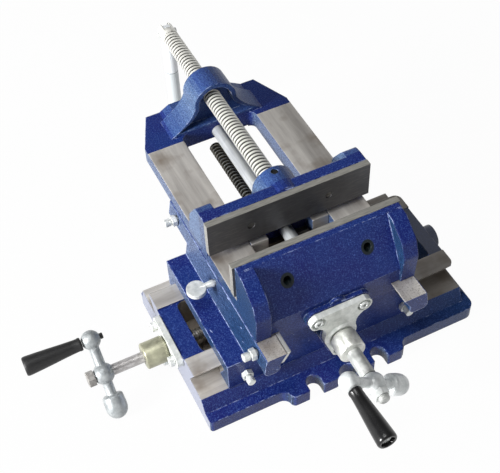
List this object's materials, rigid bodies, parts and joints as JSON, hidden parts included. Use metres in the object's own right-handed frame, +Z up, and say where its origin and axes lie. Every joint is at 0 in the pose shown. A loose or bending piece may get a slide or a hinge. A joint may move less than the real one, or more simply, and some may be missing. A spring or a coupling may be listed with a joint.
{
  "type": "cross slide vise",
  "caption": "Compound drill-press vise on two crossed dovetail slides, each moved by a lead screw with a ball crank, with a clamp screw, folding handle and slotted base lugs.",
  "frame": {"origin": "middle of the base's underside", "axes": "+X to the right along the base, away from its crank; +Y from the front crank to the rear bridge; +Z up"},
  "size_m": [0.3835, 0.4651, 0.1501],
  "materials": {
    "blue_paint": "gloss paint",
    "zinc": "bright zinc",
    "grey_steel": "satin",
    "dark_steel": "oiled, satin",
    "black_steel": "black oxide",
    "bronze": "machined",
    "black_plastic": "gloss"
  },
  "bodies": {
    "base": {"base_casting": "blue_paint", "x_bearing_plate": "zinc", "x_bearing_screw_1": "zinc", "x_bearing_screw_2": "zinc", "x_bearing_screw_3": "zinc"},
    "left_crank": {"x_lead_screw": "grey_steel", "x_thrust_collar": "zinc", "x_crank": "grey_steel", "x_crank_nut": "zinc", "x_grip_stud": "zinc"},
    "left_grip": {"x_grip": "black_plastic"},
    "saddle": {"saddle_casting": "blue_paint", "x_nut": "bronze", "y_nut": "bronze", "x_gib_strip": "grey_steel", "y_gib_strip": "grey_steel", "x_gib_screw_1": "zinc", "x_gib_screw_1_nut": "zinc", "x_gib_screw_2": "zinc", "x_gib_screw_2_nut": "zinc", "y_gib_screw_front": "zinc", "y_gib_screw_front_nut": "zinc", "y_gib_screw_rear": "zinc", "y_gib_screw_rear_nut": "zinc", "y_gib_thumb_screw": "zinc"},
    "vise_body": {"vise_body_casting": "blue_paint", "fixed_jaw_plate": "dark_steel", "fixed_jaw_screw_left": "black_steel", "fixed_jaw_screw_right": "black_steel", "y_bearing_plate": "zinc", "y_bearing_screw_1": "zinc", "y_bearing_screw_2": "zinc", "y_bearing_screw_3": "zinc", "guide_rod": "grey_steel"},
    "front_crank": {"y_lead_screw": "black_steel", "y_thrust_collar": "zinc", "y_crank": "grey_steel", "y_crank_nut": "zinc", "y_grip_stud": "zinc"},
    "front_grip": {"y_grip": "black_plastic"},
    "moving_jaw": {"moving_jaw_casting": "blue_paint", "moving_jaw_plate": "dark_steel", "moving_jaw_screw_left": "black_steel", "moving_jaw_screw_right": "black_steel", "keeper_plate": "grey_steel", "keeper_screw_left": "grey_steel", "keeper_screw_right": "grey_steel", "jaw_set_screw": "black_steel"},
    "spindle": {"clamp_screw": "zinc", "handle_pin": "zinc"},
    "folding_handle": {"clamp_handle": "zinc"}
  },
  "joints": [
    {"name": "saddle_slide", "type": "slide", "parent": "base", "child": "saddle", "axis": [1, 0, 0], "range_m": [-0.075, 0.09]},
    {"name": "left_crank_spin", "type": "hinge", "parent": "base", "child": "left_crank", "pos_m": [-0.1323, 0, 0.0295], "axis": [1, 0, 0], "range_deg": [-8200, 6850]},
    {"name": "left_grip_spin", "type": "hinge", "parent": "left_crank", "child": "left_grip", "pos_m": [-0.1894, 0.02267, 0.04991], "axis": [1, 0, 0], "continuous": true},
    {"name": "body_slide", "type": "slide", "parent": "saddle", "child": "vise_body", "axis": [0, 1, 0], "range_m": [-0.13, 0.0008]},
    {"name": "front_crank_spin", "type": "hinge", "parent": "vise_body", "child": "front_crank", "pos_m": [-0.0049, -0.0757, 0.0616], "axis": [0, 1, 0], "range_deg": [-11800, 100]},
    {"name": "front_grip_spin", "type": "hinge", "parent": "front_crank", "child": "front_grip", "pos_m": [-0.02843, -0.1289, 0.081], "axis": [0, 1, 0], "continuous": true},
    {"name": "jaw_slide", "type": "slide", "parent": "vise_body", "child": "moving_jaw", "axis": [0, 1, 0], "range_m": [-0.0403, 0.1]},
    {"name": "spindle_spin", "type": "hinge", "parent": "moving_jaw", "child": "spindle", "pos_m": [-0.0049, 0.028, 0.1287], "axis": [0, 1, 0], "range_deg": [-3700, 9100]},
    {"name": "handle_fold", "type": "hinge", "parent": "spindle", "child": "folding_handle", "pos_m": [-0.0049, 0.2706, 0.1287], "axis": [1, 0, 0], "range_deg": [0, 180]}
  ],
  "couplings": [
    {"joint": "left_crank_spin", "follows": "saddle_slide", "rad_per_m": -1570.8},
    {"joint": "front_crank_spin", "follows": "body_slide", "rad_per_m": 1570.8},
    {"joint": "spindle_spin", "follows": "jaw_slide", "rad_per_m": 1570.8}
  ]
}
